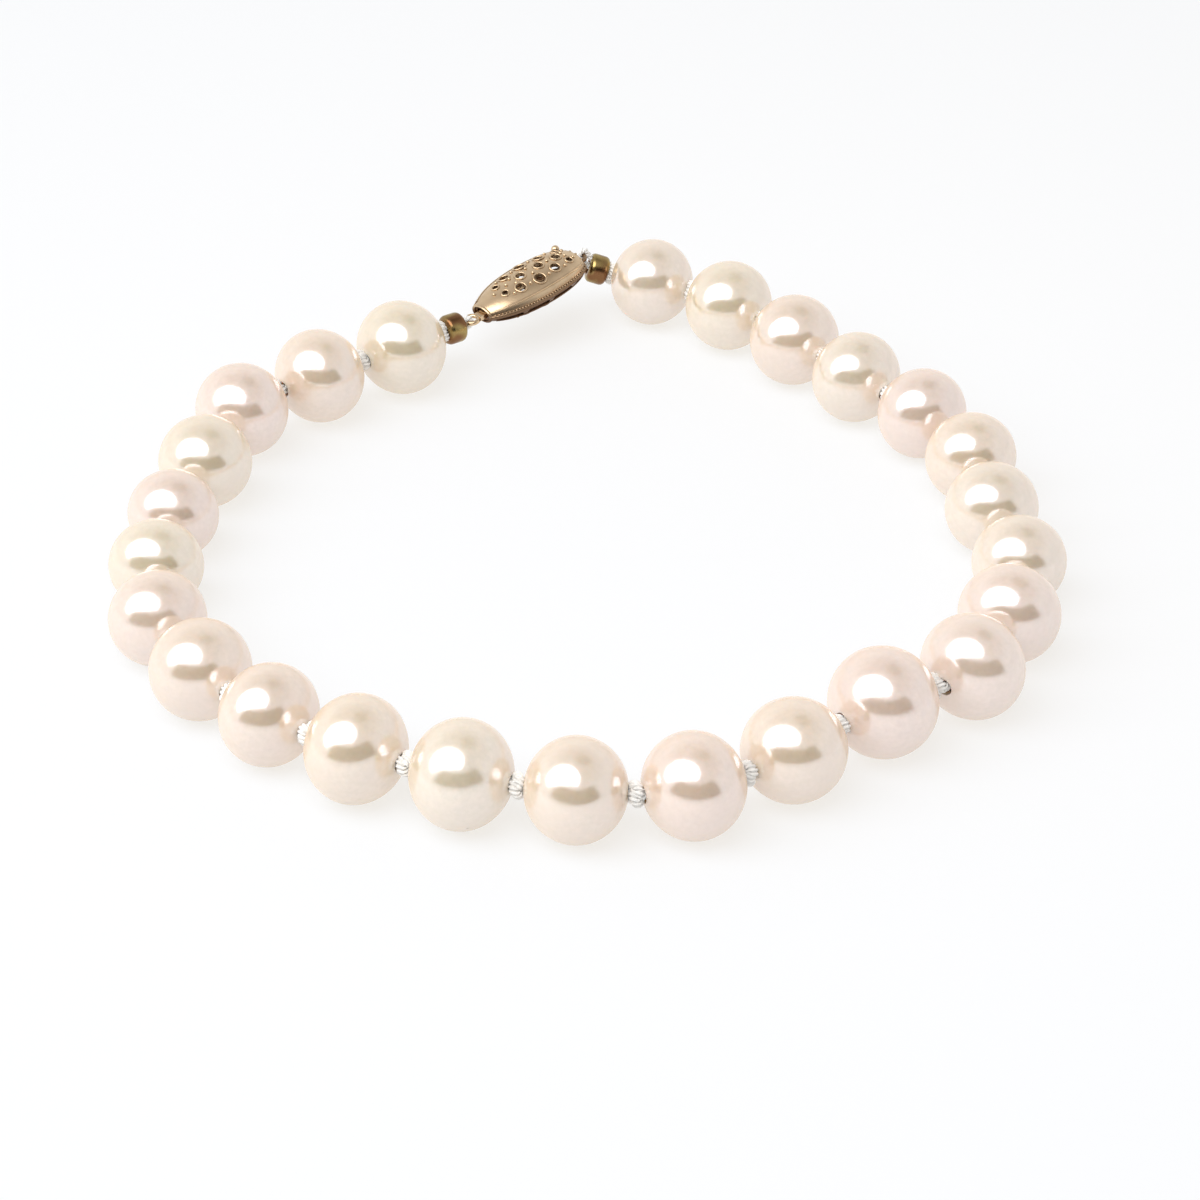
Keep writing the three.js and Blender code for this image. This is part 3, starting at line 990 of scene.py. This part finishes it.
class BRACELET_OT_case(bpy.types.Operator):
    """Spins, flattens and pierces the clasp's case, and lays its filigree on it"""

    bl_idname = "bracelet.case"
    bl_label = "Filigree case"

    def execute(self, context):
        clasp = context.scene.bracelet_clasp
        metal = context.scene.bracelet_metal
        shell, rim = self.shell_and_rim(clasp)
        ornament = [*self.filigree(clasp, shell), *self.border(clasp, shell)]
        self.pierce(shell)
        case = join([*ornament, *self.ends(clasp), rim, shell])
        # Paints shade on the lower half of the case.
        self.paint_shade_low(case)
        put(case, clasp_matrix(clasp))
        finish = gold("clasp_gold", metal.clasp, metal.tarnish_and_painted_shade, 0.3)
        finish_piece(case, "filigree_case", finish, "clasp_case")
        return {"FINISHED"}

    def shell_and_rim(self, clasp):
        """A flattened spindle open at its mouth, and the wire along its seam."""
        profile = [Vector((row["x"] * MM, row["half_width"] * MM, 0)) for row in CASE_SECTIONS]
        profile.append(Vector((profile[-1].x, 0, 0)))
        bpy.ops.mesh.primitive_plane_add(size=MM, location=profile[0])
        begin_edit("VERT")
        bpy.ops.mesh.merge(type="CENTER")
        for start, stop in zip(profile, profile[1:]):
            bpy.ops.mesh.extrude_region_move(TRANSFORM_OT_translate={"value": stop - start})
        bpy.ops.mesh.select_all(action="SELECT")
        bpy.ops.mesh.spin(steps=24, angle=TURN, center=(0, 0, 0), axis=(1, 0, 0))
        bpy.ops.mesh.select_all(action="SELECT")
        bpy.ops.mesh.remove_doubles(threshold=WELD)
        bpy.ops.transform.resize(value=(1, 1, clasp.flatness), center_override=(0, 0, 0))
        bpy.ops.mesh.normals_make_consistent(inside=False)
        end_edit()
        shell = bpy.context.object
        put(shell, Matrix.Identity(4))
        smooth_by_subdivision(2)
        begin_edit("EDGE")
        pick_edges(lambda first, second: abs(first.z) < 1e-7 and abs(second.z) < 1e-7)
        bpy.ops.mesh.duplicate()
        bpy.ops.mesh.separate(type="SELECTED")
        end_edit()
        rim = next(item for item in bpy.context.selected_objects if item is not shell)
        only(rim)
        bpy.ops.object.convert(target="CURVE")
        rim = bpy.context.object
        rim.data.bevel_depth = clasp.rim_wire / 2
        rim.data.bevel_resolution = 4
        rim.data.use_fill_caps = True
        bpy.ops.object.convert(target="MESH")
        only(shell)
        use_modifier("SOLIDIFY", thickness=clasp.wall, offset=-1.0)
        return shell, bpy.context.scene.objects[rim.name]

    def pierce(self, shell):
        """Drills the round openings through both faces and the long ones through both sides."""
        holes = []
        for row, side in mirrored(PIERCINGS):
            place = (row["x"] * MM, side * MM, 0)
            bpy.ops.mesh.primitive_cylinder_add(
                vertices=28, radius=row["radius"] * MM, depth=8 * MM, location=place
            )
            holes.append(bpy.context.object)
        for cutters in (holes, [self.slot_cutter(row) for row in SIDE_SLOTS]):
            cutter = join(cutters)
            only(shell)
            use_modifier("BOOLEAN", operation="DIFFERENCE", object=cutter, solver="EXACT")
            discard(cutter)

    def slot_cutter(self, row):
        """A bar with rounded ends that passes across the case."""
        bpy.ops.mesh.primitive_cube_add(size=1, location=(row["x"] * MM, 0, -SLOT_DEPTH))
        begin_edit("EDGE")
        bpy.ops.transform.resize(value=(row["length"] * MM, 8 * MM, SLOT_HEIGHT))
        pick_edges(lambda first, second: abs(first.y - second.y) > 7 * MM)
        bpy.ops.mesh.bevel(offset=SLOT_HEIGHT * 0.48, segments=5)
        end_edit()
        return bpy.context.object

    def on_surface(self, shell, x, y, face):
        """The point and normal of the case's upper (1) or lower (-1) face over a point of its plane."""
        start = Vector((x * MM, y * MM, face * 5 * MM))
        hit, point, normal, _ = shell.ray_cast(start, Vector((0, 0, -face)))
        if not hit:
            raise RuntimeError(f"the case has no face at {x}, {y}")
        return point, normal

    def seam(self, shell, x, side):
        """The point of the case's seam at a place along it, on one side."""
        start = Vector((x * MM, side * 5 * MM, 0))
        hit, point, _, _ = shell.ray_cast(start, Vector((0, -side, 0)))
        if not hit:
            raise RuntimeError(f"the case has no seam at {x}")
        return point

    def filigree(self, clasp, shell):
        """A wire ring round each opening and grains between them, on both faces, and the knob."""
        made = []
        for row, side in mirrored(PIERCINGS):
            for face in FACES:
                point, normal = self.on_surface(shell, row["x"], side, face)
                turn = normal.to_track_quat("Z", "Y").to_euler()
                radius = row["radius"] * MM + clasp.scroll_wire * 0.45
                made.append(ring_of(radius, clasp.scroll_wire, point, turn))
        for row, side in mirrored(GRAINS):
            for face in FACES:
                point, _ = self.on_surface(shell, row["x"], side, face)
                made.append(self.grain(clasp.grain, point))
        point, normal = self.on_surface(shell, KNOB_PLACE["x"], KNOB_PLACE["y"], 1)
        made.append(self.grain(clasp.knob, point + normal * clasp.knob * 0.2))
        return made

    def border(self, clasp, shell):
        """A wire inside the rim on both faces, and a row of fine beading along the rim."""
        made = []
        stations = np.linspace(-4.1, 4.4, 40)
        for side in (1, -1):
            for face in FACES:
                inside = [(x, self.seam(shell, x, side).y / MM * 0.86) for x in stations]
                points = [self.on_surface(shell, x, y, face)[0] for x, y in inside]
                made.append(self.wire(points, clasp.border_wire))
            for x in np.linspace(-4.2, 4.5, 36):
                edge = self.seam(shell, x, side)
                edge.z += clasp.rim_wire * 0.42
                made.append(self.grain(clasp.milgrain, edge, 2))
        return made

    def wire(self, points, thickness):
        path = path_curve(points, False)
        path.data.bevel_depth = thickness / 2
        path.data.bevel_resolution = 3
        path.data.use_fill_caps = True
        only(path)
        bpy.ops.object.convert(target="MESH")
        return bpy.context.object

    def grain(self, diameter, place, fineness=3):
        bpy.ops.mesh.primitive_ico_sphere_add(
            subdivisions=fineness, radius=diameter / 2, location=place
        )
        return bpy.context.object

    def paint_shade_low(self, case):
        """Marks painted shade on each point: none from a little above the seam, full just under it and
        below.
        """
        heights = [vertex.co.z for vertex in case.data.vertices]
        dark = np.interp(heights, (-0.05 * MM, 0.5 * MM), (1.0, 0.0))
        painted_shade = case.data.attributes.new(PAINTED_SHADE_ATTRIBUTE, "FLOAT", "POINT")
        painted_shade.data.foreach_set("value", dark)

    def ends(self, clasp):
        """The collar at the mouth, the soldered ring, and the grains round the closed end."""
        mouth = CASE_SECTIONS[0]
        collar = ring_of(mouth["half_width"] * MM, 0.26 * MM, (0, 0, 0), (0, math.pi / 2, 0))
        flattened = Matrix.Diagonal((1, 1, clasp.flatness, 1))
        put(collar, Matrix.Translation((mouth["x"] * MM, 0, 0)) @ flattened)
        ring = ring_of(clasp.ring, clasp.ring_wire, (CASE_RING_X, 0, 0))
        closed = CASE_SECTIONS[-1]
        count = 12
        grains = []
        for step in range(count):
            angle = TURN * (step + 0.5) / count
            y = closed["half_width"] * MM * 0.95 * math.cos(angle)
            z = closed["half_width"] * MM * 0.95 * clasp.flatness * math.sin(angle)
            grains.append(self.grain(clasp.grain, Vector((closed["x"] * MM - 0.25 * MM, y, z))))
        return [collar, ring, *grains]


class BRACELET_OT_hook(bpy.types.Operator):
    """Bends the flat tongue of the clasp and solders its ring on"""

    bl_idname = "bracelet.hook"
    bl_label = "Hook"

    def execute(self, context):
        clasp = context.scene.bracelet_clasp
        metal = context.scene.bracelet_metal
        tongue = self.tongue(clasp)
        ring = ring_of(clasp.ring, clasp.ring_wire, (HOOK_RING_X, 0, 0))
        hook = join([ring, tongue])
        put(hook, clasp_matrix(clasp))
        finish = gold("hook_gold", metal.clasp, metal.tarnish_and_painted_shade, 0.22)
        finish_piece(hook, "tongue_hook", finish, "clasp_hook")
        return {"FINISHED"}

    def tongue(self, clasp):
        """From the lower leg round the bend to the tip, and back from the leg to the ring's neck."""
        leg = {"start": -3.7, "turn": 1.2, "offset": 0.5, "width": 0.42, "tip": -2.5}
        neck = {"start": -5.1, "inside": -4.3, "width": 0.7}
        middle = (leg["start"] + leg["turn"]) / 2
        bpy.ops.mesh.primitive_cube_add(size=1, location=(middle * MM, -leg["offset"] * MM, 0))
        begin_edit()
        size = ((leg["turn"] - leg["start"]) * MM, leg["width"] * MM, clasp.tongue)
        bpy.ops.transform.resize(value=size)
        end_edit()
        put(bpy.context.object, Matrix.Identity(4))
        begin_edit()
        pick_faces(lambda centre, normal: normal.x > 0.9)
        bpy.ops.mesh.spin(steps=12, angle=math.pi, center=(leg["turn"] * MM, 0, 0), axis=(0, 0, 1))
        back = (leg["tip"] - leg["turn"]) * MM
        bpy.ops.mesh.extrude_region_move(TRANSFORM_OT_translate={"value": (back, 0, 0)})
        pick_faces(lambda centre, normal: normal.x < -0.9 and centre.y < 0)
        shift = ((neck["inside"] - leg["start"]) * MM, leg["offset"] * MM, 0)
        bpy.ops.mesh.extrude_region_move(TRANSFORM_OT_translate={"value": shift})
        bpy.ops.transform.resize(value=(1, neck["width"] / leg["width"], 1))
        out = (neck["start"] - neck["inside"]) * MM
        bpy.ops.mesh.extrude_region_move(TRANSFORM_OT_translate={"value": (out, 0, 0)})
        bpy.ops.mesh.select_all(action="SELECT")
        bpy.ops.mesh.normals_make_consistent(inside=False)
        end_edit()
        use_modifier("BEVEL", width=0.06 * MM, segments=3, limit_method="ANGLE")
        return bpy.context.object


# ---- panel and registration ------------------------------------------------------------------

OPERATORS = (
    BRACELET_OT_studio,
    BRACELET_OT_pearls,
    BRACELET_OT_silk,
    BRACELET_OT_beads,
    BRACELET_OT_case,
    BRACELET_OT_hook,
)
GROUPS = {
    "bracelet_sizes": BraceletSizes,
    "bracelet_clasp": ClaspSizes,
    "bracelet_nacre": NacreLook,
    "bracelet_metal": MetalLook,
    "bracelet_studio": StudioSettings,
}


class BRACELET_PT_panel(bpy.types.Panel):
    """Lists the bracelet's pieces and the sizes and colours behind them"""

    bl_label = "Pearl Bracelet"
    bl_space_type = "VIEW_3D"
    bl_region_type = "UI"
    bl_category = "Bracelet"

    def draw(self, context):
        for operator in OPERATORS:
            self.layout.operator(operator.bl_idname)
        for name, group in GROUPS.items():
            box = self.layout.box()
            for prop in group.__annotations__:
                box.prop(getattr(context.scene, name), prop)


def register():
    for group in GROUPS.values():
        bpy.utils.register_class(group)
    for operator in OPERATORS:
        bpy.utils.register_class(operator)
    bpy.utils.register_class(BRACELET_PT_panel)
    for name, group in GROUPS.items():
        setattr(bpy.types.Scene, name, PointerProperty(type=group))


def unregister():
    for name in GROUPS:
        delattr(bpy.types.Scene, name)
    bpy.utils.unregister_class(BRACELET_PT_panel)
    for operator in reversed(OPERATORS):
        bpy.utils.unregister_class(operator)
    for group in GROUPS.values():
        bpy.utils.unregister_class(group)


def main():
    register()
    bpy.ops.bracelet.studio()
    bpy.ops.bracelet.pearls()
    bpy.ops.bracelet.silk()
    bpy.ops.bracelet.beads()
    bpy.ops.bracelet.case()
    bpy.ops.bracelet.hook()


if __name__ == "__main__":
    main()
